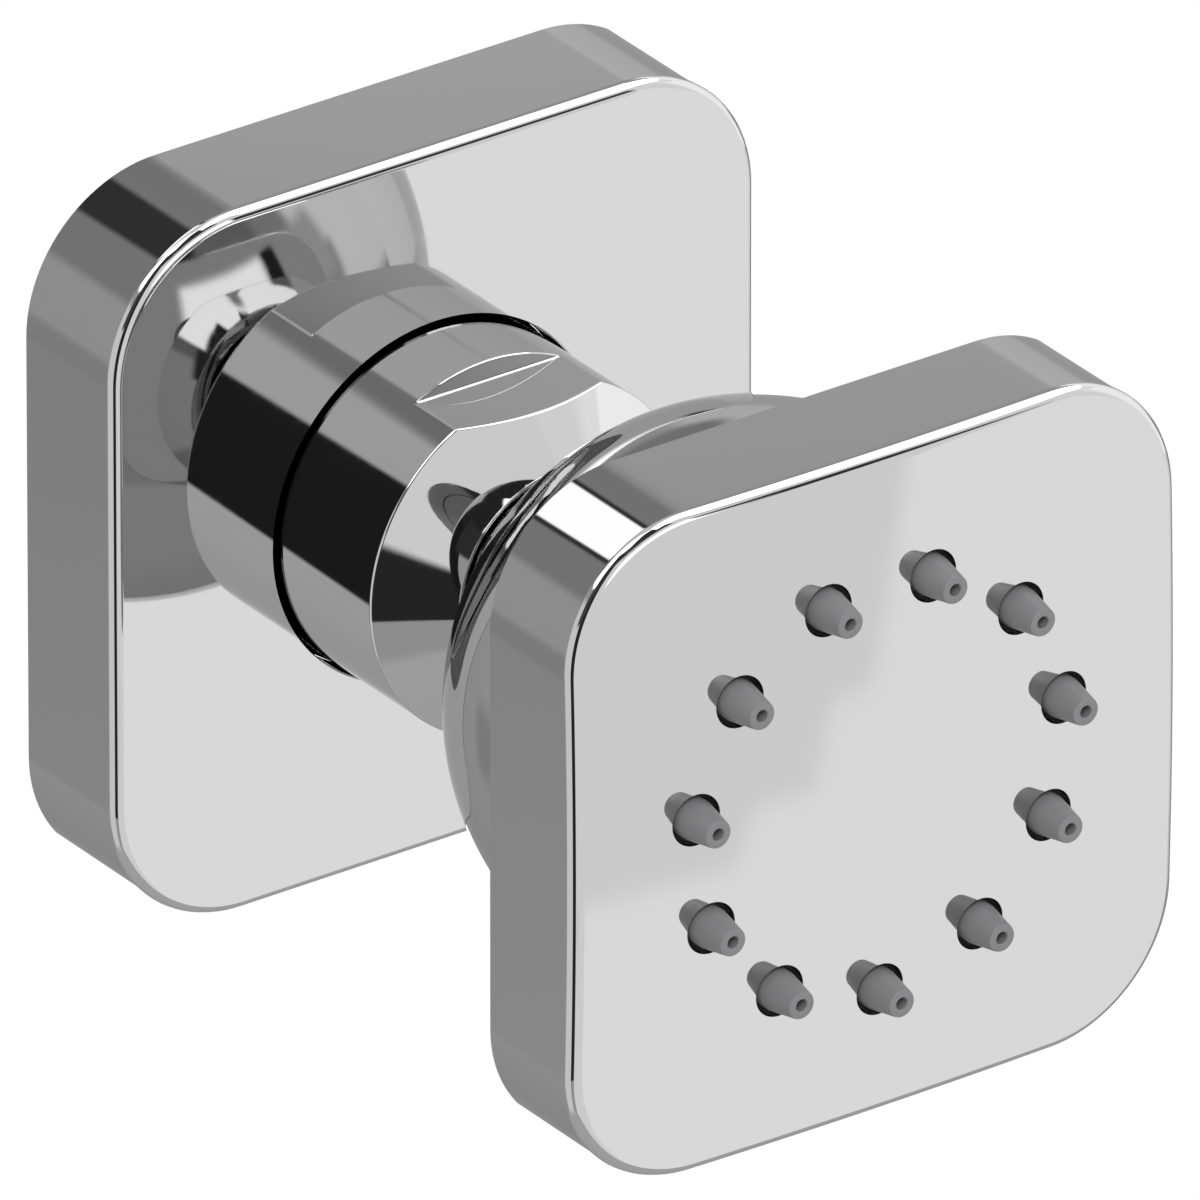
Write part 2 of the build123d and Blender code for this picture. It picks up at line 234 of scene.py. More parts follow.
def surface_marks():
    """Faint cloudy unevenness and fine wiping marks, for plated and moulded surfaces alike."""
    group = bpy.data.node_groups.new("surface_marks", "ShaderNodeTree")
    for name in ("Cloud Scale", "Mark Scale", "Low", "High"):
        group.interface.new_socket(name, in_out="INPUT", socket_type="NodeSocketFloat")
    for name in ("Roughness", "Height"):
        group.interface.new_socket(name, in_out="OUTPUT", socket_type="NodeSocketFloat")
    nodes, links = group.nodes, group.links
    entry = nodes.new("NodeGroupInput")
    leave = nodes.new("NodeGroupOutput")
    place = nodes.new("ShaderNodeTexCoord")
    cloud = nodes.new("ShaderNodeTexNoise")
    cloud.inputs["Detail"].default_value = 3.0
    marks = nodes.new("ShaderNodeTexNoise")
    marks.inputs["Detail"].default_value = 5.0
    both = nodes.new("ShaderNodeMath")
    both.operation = "MULTIPLY"
    spread = nodes.new("ShaderNodeMapRange")
    spread.inputs["From Min"].default_value = 0.15
    spread.inputs["From Max"].default_value = 0.4
    links.new(place.outputs["Object"], cloud.inputs["Vector"])
    links.new(place.outputs["Object"], marks.inputs["Vector"])
    links.new(entry.outputs["Cloud Scale"], cloud.inputs["Scale"])
    links.new(entry.outputs["Mark Scale"], marks.inputs["Scale"])
    links.new(cloud.outputs["Fac"], both.inputs[0])
    links.new(marks.outputs["Fac"], both.inputs[1])
    links.new(both.outputs["Value"], spread.inputs["Value"])
    links.new(entry.outputs["Low"], spread.inputs["To Min"])
    links.new(entry.outputs["High"], spread.inputs["To Max"])
    links.new(spread.outputs["Result"], leave.inputs["Roughness"])
    links.new(marks.outputs["Fac"], leave.inputs["Height"])
    return group


CLOUD_SCALE = 90.0
MARK_SCALE = 900.0
MARK_HEIGHT = 0.05 * MM
marks_group = surface_marks()


def add_marks(material, shader, low, high, bump):
    """Puts the surface marks on a material's roughness and, a little, on its normal."""
    nodes, links = material.node_tree.nodes, material.node_tree.links
    marks = nodes.new("ShaderNodeGroup")
    marks.node_tree = marks_group
    marks.inputs["Cloud Scale"].default_value = CLOUD_SCALE
    marks.inputs["Mark Scale"].default_value = MARK_SCALE
    marks.inputs["Low"].default_value = low
    marks.inputs["High"].default_value = high
    links.new(marks.outputs["Roughness"], shader.inputs["Roughness"])
    if bump:
        relief = nodes.new("ShaderNodeBump")
        relief.inputs["Strength"].default_value = bump
        relief.inputs["Distance"].default_value = MARK_HEIGHT
        links.new(marks.outputs["Height"], relief.inputs["Height"])
        links.new(relief.outputs["Normal"], shader.inputs["Normal"])


chrome, chrome_shader = new_material("mirror_chrome")
chrome_shader.inputs["Base Color"].default_value = (0.553, 0.553, 0.553, 1)
chrome_shader.inputs["Metallic"].default_value = 1.0
chrome_shader.inputs["Specular Tint"].default_value = (0.72, 0.72, 0.72, 1)
add_marks(chrome, chrome_shader, 0.015, 0.045, 0.0)


def paint(piece, material):
    """Gives a piece one material all over."""
    piece.data.materials.clear()
    piece.data.materials.append(material)


paint(escutcheon, chrome)

# Barrel
# The fixed chromed brass body that the ball swivels in, turned from bar.
# Two flats take a wrench when it is screwed to the pipe.
# Its nose is coned, so that the head can tilt.

BARREL_SHOW = 13.0 * MM
NOSE_RADIUS = 10.0 * MM
OPENING_RADIUS = 8.0 * MM
LIP_BACK = 27.02 * MM
CHAMBER_RADIUS = 10.5 * MM
ADAPTER_RADIUS = 12.5 * MM
FLATS_ACROSS = 28.0 * MM
FLATS_LENGTH = 5.65 * MM
RING_GROOVE = 1.35 * MM
RING_GROOVE_WIDTH = 2.0 * MM
BARREL_BREAK = 0.15 * MM
BARREL_BREAK_ANGLE = radians(20)
BACK_CHAMFER = 0.4 * MM
BARREL_AROUND = 256
AROUND = 160

barrel_nose = -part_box("barrel")[0].y
barrel_rim = escutcheon_depth + BARREL_SHOW
adapter_length = -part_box("inlet_adapter")[0].y
ring_low, ring_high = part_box("escutcheon_o_ring")
groove_middle = -(ring_low.y + ring_high.y) / 2


def turned(name, profile, around=AROUND):
    """A ring turned on the jet's axis from its closed section, in (radius, reach) points."""
    deselect()
    radius, reach = profile[0]
    bpy.ops.mesh.primitive_circle_add(
        vertices=around,
        radius=radius,
        location=(0, ROOM * reach, 0),
        rotation=(pi / 2, 0, 0),
    )
    ring = named(name)
    bpy.ops.object.mode_set(mode="EDIT")
    bpy.ops.mesh.select_mode(type="EDGE")
    bpy.ops.mesh.select_all(action="SELECT")
    for next_radius, next_reach in profile[1:] + profile[:1]:
        step = ROOM * (next_reach - reach)
        bpy.ops.mesh.extrude_region_move(TRANSFORM_OT_translate={"value": (0, step, 0)})
        spread = next_radius / radius
        bpy.ops.transform.resize(
            value=(spread, 1, spread), center_override=(0, ROOM * next_reach, 0)
        )
        radius, reach = next_radius, next_reach
    bpy.ops.mesh.select_all(action="SELECT")
    bpy.ops.mesh.remove_doubles(threshold=CLOSE)
    bpy.ops.mesh.normals_make_consistent(inside=False)
    bpy.ops.object.mode_set(mode="OBJECT")
    return ring


def arc(centre, radius, start, end, steps):
    """Points of a section on an arc.

    The centre is (radius, reach), and angles are in degrees from the radius towards the room."""
    angles = [radians(start + (end - start) * step / steps) for step in range(steps + 1)]
    return [(centre[0] + radius * cos(a), centre[1] + radius * sin(a)) for a in angles]


barrel = turned(
    "barrel_body",
    [
        (ADAPTER_RADIUS, 0.0),
        (barrel_radius - BACK_CHAMFER, 0.0),
        (barrel_radius, BACK_CHAMFER),
        (barrel_radius, groove_middle - RING_GROOVE_WIDTH / 2),
        (barrel_radius - RING_GROOVE, groove_middle - RING_GROOVE_WIDTH / 2),
        (barrel_radius - RING_GROOVE, groove_middle + RING_GROOVE_WIDTH / 2),
        (barrel_radius, groove_middle + RING_GROOVE_WIDTH / 2),
        (barrel_radius, barrel_rim),
        (NOSE_RADIUS, barrel_nose),
        (OPENING_RADIUS, barrel_nose),
        (OPENING_RADIUS, LIP_BACK),
        (CHAMBER_RADIUS, LIP_BACK),
        (CHAMBER_RADIUS, adapter_length),
        (ADAPTER_RADIUS, adapter_length),
    ],
    around=BARREL_AROUND,
)
for side in (1, -1):
    deselect()
    bpy.ops.mesh.primitive_cube_add(
        size=1.0,
        location=(
            0,
            ROOM * (barrel_rim - FLATS_LENGTH + barrel_radius),
            side * (FLATS_ACROSS + barrel_radius) / 2,
        ),
        scale=(3 * barrel_radius, 2 * barrel_radius, barrel_radius),
    )
    combine(barrel, named("flat_cutter"), "DIFFERENCE")
edge_break = barrel.modifiers.new("edge_break", "BEVEL")
edge_break.width = BARREL_BREAK
edge_break.segments = 3
edge_break.limit_method = "ANGLE"
edge_break.angle_limit = BARREL_BREAK_ANGLE
edge_break.use_clamp_overlap = False
bpy.context.view_layer.objects.active = barrel
bpy.ops.object.modifier_apply(modifier=edge_break.name)
smooth(barrel)
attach(barrel, "wall_body")
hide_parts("barrel")
paint(barrel, chrome)

# Back cover of the head
# A deep chromed dome, cast in one with a square plate that closes the back of the head.
# The dome carries the ball's stem at its middle.
# Four countersunk screws hold the plate to the face.

DOME_WALL = 2.2 * MM
DOME_SKIRT = 5.1 * MM
DOME_FOOT = 1.5 * MM
HUB_RADIUS = 7.5 * MM
HUB_FACE_RADIUS = 6.5 * MM
SHANK_BORE = 4.0 * MM
WASHER_BORE = 5.2 * MM
COVER_THICKNESS = 2.4 * MM
COVER_CORNER = 10.05 * MM
DOME_RADIUS = 25.4 * MM
SUNK = 0.02 * MM

cover_low, cover_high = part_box("back_cover")
cover_side = cover_high.x - cover_low.x
head_back = -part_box("face_cup")[1].y
cover_front = -cover_low.y
hub_face = -cover_high.y
washer_seat = -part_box("stem_washer")[0].y
hub_end = -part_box("swivel_ball")[0].y
dome_centre = head_back - DOME_SKIRT
dome_inner = DOME_RADIUS - DOME_WALL
from_hub = -90 + 180 / pi * acos(sqrt(1 - (HUB_FACE_RADIUS / DOME_RADIUS) ** 2))
inner_hub = -90 + 180 / pi * acos(sqrt(1 - (HUB_RADIUS / dome_inner) ** 2))

foot = arc((DOME_RADIUS + DOME_FOOT, head_back - DOME_FOOT + SUNK), DOME_FOOT, 180, 90, 8)
plate_middle_reach = head_back + COVER_THICKNESS / 2
cover = turned(
    "dome_cover",
    [(SHANK_BORE, hub_end), (SHANK_BORE, washer_seat)]
    + [(WASHER_BORE, washer_seat), (WASHER_BORE, hub_face)]
    + arc((0, dome_centre), DOME_RADIUS, from_hub, 0, 48)
    + foot
    + [(DOME_RADIUS + DOME_FOOT, plate_middle_reach), (DOME_RADIUS, plate_middle_reach)]
    + [(DOME_RADIUS, cover_front), (dome_inner, cover_front)]
    + arc((0, dome_centre), dome_inner, 0, inner_hub, 24)
    + [(HUB_RADIUS, hub_end)],
)
plate = rounded_block(
    "cover_plate", cover_side, COVER_CORNER, head_back, head_back + COVER_THICKNESS
)
plate_hole = drum(
    "plate_hole", dome_inner + DOME_WALL / 2, head_back - PAST, cover_front, around=AROUND
)
combine(plate, plate_hole, "DIFFERENCE")
combine(cover, plate, "UNION")

SCREW_SPACING = 44.0 * MM
SCREW_HEAD = 2.4 * MM
SCREW_RADIUS = 1.25 * MM
SCREW_FIT = 0.05 * MM
SINK_AROUND = 48
HOLE_AROUND = 46
screw_clear = SCREW_RADIUS + SCREW_FIT


def move(piece, x, z):
    """Shifts a tool or a copy off the jet's axis, in its mesh."""
    piece.data.transform(Matrix.Translation((x, 0, z)))


screw_off = SCREW_SPACING / 2
screw_places = [(x, z) for x in (-screw_off, screw_off) for z in (-screw_off, screw_off)]
sink = SCREW_HEAD + SCREW_FIT
for x, z in screw_places:
    deselect()
    bpy.ops.mesh.primitive_cone_add(
        vertices=SINK_AROUND,
        radius1=0.0,
        radius2=2 * sink,
        depth=2 * sink,
        location=(x, ROOM * head_back, z),
        rotation=(-pi / 2, pi / SINK_AROUND, 0),
    )
    combine(cover, named("countersink"), "DIFFERENCE")
    screw_hole = drum("screw_hole", screw_clear, head_back, cover_front, around=HOLE_AROUND)
    move(screw_hole, x, z)
    combine(cover, screw_hole, "DIFFERENCE")
smooth(cover)
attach(cover, "head")
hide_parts("back_cover")
paint(cover, chrome)

# Face cup of the head
# The chromed square front with its four sides in one piece, slightly domed, with a rolled edge.
# A ring of round holes lets the soft nozzles through.

HEAD_CORNER = 12.0 * MM
HEAD_WALL = 1.8 * MM
HEAD_DEPTH = 12.33 * MM
FACE_DOME = 508.0 * MM
FACE_THICKNESS = 3.08 * MM
NOZZLES = 11
NOZZLE_CIRCLE = 18.4 * MM
NOZZLE_HOLE = 2.3 * MM
BOSS_RADIUS = 3.2 * MM
SCREW_DEPTH = 6.1 * MM
CORNER_STEPS = 32
SIDE_CUTS = 23
RINGS = 24
BOSS_AROUND = 48
NOZZLE_HOLE_AROUND = 64
RIM_CLOSE = 0.01 * MM

head_side = 2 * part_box("face_cup")[1].x
face_apex = head_back + HEAD_DEPTH
face_inner = face_apex - FACE_THICKNESS

face = rounded_block(
    "face_shell", head_side, HEAD_CORNER, head_back, face_apex, steps=CORNER_STEPS, cuts=SIDE_CUTS
)
select_front(face)
for ring in range(RINGS - 1, 0, -1):
    bpy.ops.mesh.extrude_region()
    spread = ring / (ring + 1)
    bpy.ops.transform.resize(
        value=(spread, 1, spread), center_override=(0, ROOM * face_apex, 0)
    )
bpy.ops.object.mode_set(mode="OBJECT")
front = face.vertex_groups.new(name="front")
front.add([v.index for v in face.data.vertices if -v.co.y > face_apex - CLOSE], 1.0, "REPLACE")
deselect()
bpy.ops.object.empty_add(location=(0, FACE_DOME - face_apex, 0))
dome_point = bpy.context.object
crown = face.modifiers.new("crown", "CAST")
crown.object = dome_point
crown.cast_type = "SPHERE"
crown.use_x = False
crown.use_z = False
crown.factor = 1.0
crown.size = FACE_DOME
crown.use_radius_as_size = False
crown.vertex_group = front.name
bpy.context.view_layer.objects.active = face
bpy.ops.object.modifier_apply(modifier=crown.name)
bpy.data.objects.remove(dome_point)
half_side = head_side / 2


def on_rim(point):
    """True for a point on the outline of the head, in front."""
    across = max(abs(point.x), abs(point.z))
    corner = half_side - HEAD_CORNER
    reach_x = max(abs(point.x) - corner, 0.0)
    reach_z = max(abs(point.z) - corner, 0.0)
    off_corner = abs(sqrt(reach_x**2 + reach_z**2) - HEAD_CORNER)
    rounded = reach_x and reach_z and off_corner < RIM_CLOSE
    straight = abs(across - half_side) < RIM_CLOSE
    return -point.y > head_back + HEAD_DEPTH / 2 and (straight or rounded)


select_edges(face, lambda a, b: on_rim(a) and on_rim(b))
bpy.ops.mesh.bevel(offset=FRONT_ROUND, segments=ROUND_STEPS, profile=0.5, affect="EDGES")
bpy.ops.object.mode_set(mode="OBJECT")
cup = rounded_block(
    "cup_space", head_side - 2 * HEAD_WALL, HEAD_CORNER - HEAD_WALL, head_back - PAST, face_inner
)
combine(face, cup, "DIFFERENCE")
boss_end = head_back + COVER_THICKNESS
boss_root = face_inner + FACE_THICKNESS / 2
screw_end = head_back + SCREW_DEPTH
for x, z in screw_places:
    boss = drum("boss", BOSS_RADIUS, boss_end, boss_root, around=BOSS_AROUND)
    move(boss, x, z)
    combine(face, boss, "UNION")
    boss_hole = drum("boss_hole", screw_clear, boss_end - PAST, screw_end, around=BOSS_AROUND)
    move(boss_hole, x, z)
    combine(face, boss_hole, "DIFFERENCE")
nozzle_turns = [radians(270 + 360 * number / NOZZLES) for number in range(NOZZLES)]
nozzle_places = [(NOZZLE_CIRCLE * cos(turn), NOZZLE_CIRCLE * sin(turn)) for turn in nozzle_turns]
for x, z in nozzle_places:
    hole = drum(
        "nozzle_hole", NOZZLE_HOLE, face_inner - PAST, face_apex + PAST, around=NOZZLE_HOLE_AROUND
    )
    move(hole, x, z)
    combine(face, hole, "DIFFERENCE")
smooth(face)
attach(face, "head")
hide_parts("face_cup")
paint(face, chrome)

# Nozzle mat
# One soft silicone moulding: a disc behind the face, with a ring of tapered nozzles.
# Each nozzle stands through the face, has a fine jet hole, and flexes so that scale rubs off.

NOZZLE_BASE = 1.78 * MM
NOZZLE_TIP = 1.24 * MM
NOZZLE_REACH = 3.1 * MM
JET_RADIUS = 0.53 * MM
JET_DEPTH = 2.2 * MM
FEED_RADIUS = 1.1 * MM
TIP_ROUND = 0.15 * MM
TIP_MIDDLE = 0.3 * TIP_ROUND
MAT_THICKNESS = 1.5 * MM
NOZZLE_AROUND = 48

mat_low, mat_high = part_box("nozzle_mat")
mat_radius = mat_high.x
mat_front = face_inner
mat_back = mat_front - MAT_THICKNESS
nozzle_tip = -mat_low.y
nozzle_root = nozzle_tip - NOZZLE_REACH
nozzle = turned(
    "nozzle",
    [
        (JET_RADIUS, mat_front - MAT_THICKNESS / 2),
        (JET_RADIUS, nozzle_tip - TIP_ROUND / 2),
        (JET_RADIUS + TIP_ROUND / 2, nozzle_tip),
        (NOZZLE_TIP - TIP_ROUND, nozzle_tip),
        (NOZZLE_TIP - TIP_MIDDLE, nozzle_tip - TIP_MIDDLE),
        (NOZZLE_TIP, nozzle_tip - TIP_ROUND),
        (NOZZLE_BASE, nozzle_root),
        (NOZZLE_BASE, mat_front - MAT_THICKNESS / 2),
    ],
    around=NOZZLE_AROUND,
)
mat = drum("nozzle_mat_soft", mat_radius, mat_back, mat_front)
for x, z in nozzle_places:
    copy = nozzle.copy()
    copy.data = nozzle.data.copy()
    bpy.context.scene.collection.objects.link(copy)
    move(copy, x, z)
    combine(mat, copy, "UNION")
    feed = drum(
        "feed", FEED_RADIUS, mat_back - PAST, nozzle_tip - JET_DEPTH, around=NOZZLE_AROUND
    )
    move(feed, x, z)
    combine(mat, feed, "DIFFERENCE")
bpy.data.objects.remove(nozzle)
smooth(mat)
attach(mat, "head")
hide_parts("nozzle_mat")

silicone, silicone_shader = new_material("grey_silicone")
silicone_shader.inputs["Base Color"].default_value = (0.20, 0.20, 0.205, 1)
add_marks(silicone, silicone_shader, 0.38, 0.55, 0.2)
paint(mat, silicone)

# Inlet adapter
# A turned brass insert, screwed into the back of the barrel by a hexagon key, with an o-ring.
# Its half-inch pipe thread, fourteen to the inch, takes the pipe that stands out of the wall.

THREAD_RADIUS = 9.3 * MM
THREAD_LENGTH = 9.0 * MM
THREAD_PITCH = 25.4 * MM / 14
THREAD_TURNS = 5
THREAD_TOOL = 0.9 * MM
THREAD_TOOL_OUT = 0.1 * MM
THREAD_STEPS = 72
FILTER_RADIUS = 9.0 * MM
ADAPTER_FLANGE = 1.2 * MM
ADAPTER_REBATE = 1.4 * MM
KEY_ACROSS = 10.0 * MM

adapter_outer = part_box("inlet_adapter")[1].x
flange_back = adapter_length - ADAPTER_FLANGE
rebate_radius = ADAPTER_RADIUS - ADAPTER_REBATE
adapter = turned(
    "inlet_adapter_brass",
    [
        (KEY_ACROSS / 4, adapter_length),
        (KEY_ACROSS / 4, flange_back),
        (FILTER_RADIUS, flange_back),
        (FILTER_RADIUS, THREAD_LENGTH),
        (THREAD_RADIUS, THREAD_LENGTH),
        (THREAD_RADIUS, 0.0),
        (adapter_outer, 0.0),
        (adapter_outer, adapter_length - ADAPTER_REBATE),
        (rebate_radius, adapter_length - ADAPTER_REBATE),
        (rebate_radius, adapter_length),
    ],
)
key_hole = drum(
    "key_hole", KEY_ACROSS / 2 / cos(pi / 6), flange_back - PAST, adapter_length + PAST, around=6
)
combine(adapter, key_hole, "DIFFERENCE")
deselect()
bpy.ops.mesh.primitive_circle_add(
    vertices=3,
    radius=THREAD_TOOL,
    location=(THREAD_RADIUS + THREAD_TOOL_OUT, THREAD_PITCH, 0),
    rotation=(0, 0, -pi / 2),
)
thread_tool = named("thread_tool")
helix = thread_tool.modifiers.new("helix", "SCREW")
helix.axis = "Y"
helix.screw_offset = ROOM * THREAD_PITCH
helix.iterations = THREAD_TURNS
helix.steps = THREAD_STEPS
helix.render_steps = THREAD_STEPS
bpy.ops.object.modifier_apply(modifier=helix.name)
bpy.ops.object.mode_set(mode="EDIT")
bpy.ops.mesh.select_all(action="SELECT")
bpy.ops.mesh.fill_holes(sides=4)
bpy.ops.mesh.select_all(action="SELECT")
bpy.ops.mesh.normals_make_consistent(inside=False)
bpy.ops.object.mode_set(mode="OBJECT")
combine(adapter, thread_tool, "DIFFERENCE")
smooth(adapter)
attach(adapter, "wall_body")
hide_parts("inlet_adapter")

brass, brass_shader = new_material("turned_brass")
brass_shader.inputs["Base Color"].default_value = (0.72, 0.52, 0.24, 1)
brass_shader.inputs["Metallic"].default_value = 1.0
add_marks(brass, brass_shader, 0.2, 0.38, 0.2)
paint(adapter, brass)

# Inner pieces
# Seals, washers, springs, screws and the ball, which stay as the CAD makes them.
# They lie inside the barrel and the head, and show only at the back or at the gap between the two.

rubber, rubber_shader = new_material("black_rubber")
rubber_shader.inputs["Base Color"].default_value = (0.02, 0.02, 0.02, 1)
add_marks(rubber, rubber_shader, 0.5, 0.7, 0.3)
steel, steel_shader = new_material("plain_stainless")
steel_shader.inputs["Base Color"].default_value = (0.56, 0.56, 0.57, 1)
steel_shader.inputs["Metallic"].default_value = 1.0
add_marks(steel, steel_shader, 0.2, 0.4, 0.2)
acetal, acetal_shader = new_material("white_acetal")
acetal_shader.inputs["Base Color"].default_value = (0.78, 0.78, 0.75, 1)
add_marks(acetal, acetal_shader, 0.35, 0.5, 0.2)
finishes = {
    "rubber_black": rubber,
    "foam_black": rubber,
    "brass": brass,
    "stainless": steel,
    "acetal_white": acetal,
    "silicone_grey": silicone,
    "chrome": chrome,
}
for entry in frame["record"]["subparts"]:
    paint(frame["nodes"][entry["node"]], finishes[entry["material_slot"]])

# Studio
# A pale floor well below the jet, a broad soft lamp, and a light tent as used for plated work.
# The tent's white, grey and black panels are what the chrome mirrors, and nothing else sees them.

FLOOR_SIZE = 40.0
FLOOR_LEVEL = -0.25

deselect()
bpy.ops.mesh.primitive_plane_add(size=FLOOR_SIZE, location=(0, 0, FLOOR_LEVEL))
floor = bpy.context.object
floor.name = "floor"
pale, pale_shader = new_material("pale_floor")
pale.cycles.emission_sampling = "NONE"
pale_nodes, pale_links = pale.node_tree.nodes, pale.node_tree.links
pale_shader.inputs["Base Color"].default_value = (0.9, 0.9, 0.9, 1)
pale_shader.inputs["Roughness"].default_value = 0.9
white = pale_nodes.new("ShaderNodeEmission")
white.inputs["Strength"].default_value = 1.0
path = pale_nodes.new("ShaderNodeLightPath")
seen = pale_nodes.new("ShaderNodeMath")
seen.operation = "MAXIMUM"
pale_mix = pale_nodes.new("ShaderNodeMixShader")
pale_links.new(path.outputs["Is Camera Ray"], seen.inputs[0])
pale_links.new(path.outputs["Is Glossy Ray"], seen.inputs[1])
pale_links.new(seen.outputs["Value"], pale_mix.inputs["Fac"])
pale_links.new(pale_shader.outputs["BSDF"], pale_mix.inputs[1])
pale_links.new(white.outputs["Emission"], pale_mix.inputs[2])
pale_links.new(pale_mix.outputs["Shader"], pale_nodes["Material Output"].inputs["Surface"])
floor.data.materials.append(pale)
floor.visible_glossy = False


def only_mirrored(thing):
    """Leaves a stage card to mirror-like surfaces alone."""
    thing.visible_camera = False
    thing.visible_diffuse = False
    thing.visible_transmission = False
    thing.visible_shadow = False


def tent_panel():
    """One soft-edged panel of the tent, laid over what is under it. Angles are in degrees."""
    group = bpy.data.node_groups.new("tent_panel", "ShaderNodeTree")
    seen_way = ("Azimuth", "Elevation")
    panel_form = ("Middle", "Width", "Height Middle", "Height", "Soft")
    for name in (*seen_way, "Under", "Level", *panel_form):
        group.interface.new_socket(name, in_out="INPUT", socket_type="NodeSocketFloat")
    group.interface.new_socket("Level", in_out="OUTPUT", socket_type="NodeSocketFloat")
    nodes, links = group.nodes, group.links
    entry = nodes.new("NodeGroupInput")
    leave = nodes.new("NodeGroupOutput")

    def math(operation, first, second):
        node = nodes.new("ShaderNodeMath")
        node.operation = operation
        for socket, value in zip(node.inputs, (first, second)):
            if isinstance(value, float):
                socket.default_value = value
            else:
                links.new(value, socket)
        return node.outputs["Value"]

    def inside(off_middle, size):
        past = math("SUBTRACT", math("MULTIPLY", size, 0.5), math("ABSOLUTE", off_middle, 0.0))
        edge = nodes.new("ShaderNodeMapRange")
        edge.interpolation_type = "SMOOTHERSTEP"
        edge.inputs["From Min"].default_value = -0.5
        edge.inputs["From Max"].default_value = 0.5
        links.new(math("DIVIDE", past, entry.outputs["Soft"]), edge.inputs["Value"])
        return edge.outputs["Result"]

    turn = nodes.new("ShaderNodeMath")
    turn.operation = "WRAP"
    links.new(math("SUBTRACT", entry.outputs["Azimuth"], entry.outputs["Middle"]), turn.inputs[0])
    turn.inputs[1].default_value = 180.0
    turn.inputs[2].default_value = -180.0
    across = inside(turn.outputs["Value"], entry.outputs["Width"])
    rise = math("SUBTRACT", entry.outputs["Elevation"], entry.outputs["Height Middle"])
    mask = math("MULTIPLY", across, inside(rise, entry.outputs["Height"]))
    change = math("SUBTRACT", entry.outputs["Level"], entry.outputs["Under"])
    links.new(
        math("ADD", entry.outputs["Under"], math("MULTIPLY", change, mask)), leave.inputs["Level"]
    )
    return group


# Each panel: level, then middle and width across, middle and height up, and softness, in degrees.
TENT_BASE = 0.48
TENT_PANELS = (
    (0.60, 0, 400, -74, 48, 8),
    (0.90, 0, 400, 85, 50, 8),
    (4.20, -5, 240, 71, 30, 7),
    (1.45, 106, 50, 16, 46, 8),
    (0.60, 136, 34, 0, 30, 6),
    (0.76, 138, 34, 17, 22, 8),
    (1.80, 146.5, 21, -26, 24, 1.5),
    (0.30, -172, 80, 34, 32, 8),
    (0.36, -143, 26, -21, 14, 8),
    (0.95, -90, 56, -12, 80, 8),
    (4.20, -98, 42, 59, 40, 5),
    (1.10, 60, 60, 5, 70, 6),
    (1.27, 70, 24, 18, 50, 9),
    (1.50, 80, 27, 5, 46, 1.5),
    (1.05, 0, 74, 42, 34, 3),
    (1.24, 30, 74, -24, 46, 4),
    (1.06, -5.5, 61, -38, 21, 2),
    (1.06, -3.2, 68.4, 0.6, 56.8, 1),
    (1.06, -2.4, 70, 1.2, 55.8, 1),
    (1.06, -1.9, 71, 2, 54, 1),
    (4.20, 8, 38, 19, 16, 6),
    (0.03, -50, 26, -1, 62, 1.5),
    (0.05, -56, 40, 47, 36, 4),
    (0.08, -68, 26, 25, 26, 5),
    (0.05, -9, 66, 54, 17, 4),
    (0.45, -13, 18, 44, 8, 4),
    (0.05, -14, 50, 68, 30, 5),
    (0.05, 31.2, 6.6, 17.5, 21, 3),
    (4.20, 72, 62, 50, 26, 3),
)

TENT_RADIUS = 2.0

bpy.ops.mesh.primitive_uv_sphere_add(segments=96, ring_count=48, radius=TENT_RADIUS)
tent = bpy.context.object
tent.name = "light_tent"
only_mirrored(tent)
cloth, cloth_shader = new_material("tent_cloth")
cloth.cycles.emission_sampling = "NONE"
cloth_nodes, cloth_links = cloth.node_tree.nodes, cloth.node_tree.links
cloth_nodes.remove(cloth_shader)
cloth_place = cloth_nodes.new("ShaderNodeTexCoord")
cloth_way = cloth_nodes.new("ShaderNodeVectorMath")
cloth_way.operation = "NORMALIZE"
cloth_parts = cloth_nodes.new("ShaderNodeSeparateXYZ")
cloth_front = cloth_nodes.new("ShaderNodeMath")
cloth_front.operation = "MULTIPLY"
cloth_front.inputs[1].default_value = -1.0
cloth_turn = cloth_nodes.new("ShaderNodeMath")
cloth_turn.operation = "ARCTAN2"
cloth_rise = cloth_nodes.new("ShaderNodeMath")
cloth_rise.operation = "ARCSINE"
cloth_azimuth = cloth_nodes.new("ShaderNodeMath")
cloth_azimuth.operation = "DEGREES"
cloth_elevation = cloth_nodes.new("ShaderNodeMath")
cloth_elevation.operation = "DEGREES"
cloth_links.new(cloth_place.outputs["Object"], cloth_way.inputs[0])
cloth_links.new(cloth_way.outputs["Vector"], cloth_parts.inputs["Vector"])
cloth_links.new(cloth_parts.outputs["Y"], cloth_front.inputs[0])
cloth_links.new(cloth_parts.outputs["X"], cloth_turn.inputs[0])
cloth_links.new(cloth_front.outputs["Value"], cloth_turn.inputs[1])
cloth_links.new(cloth_parts.outputs["Z"], cloth_rise.inputs[0])
cloth_links.new(cloth_turn.outputs["Value"], cloth_azimuth.inputs[0])
cloth_links.new(cloth_rise.outputs["Value"], cloth_elevation.inputs[0])
panel_group = tent_panel()
under = None
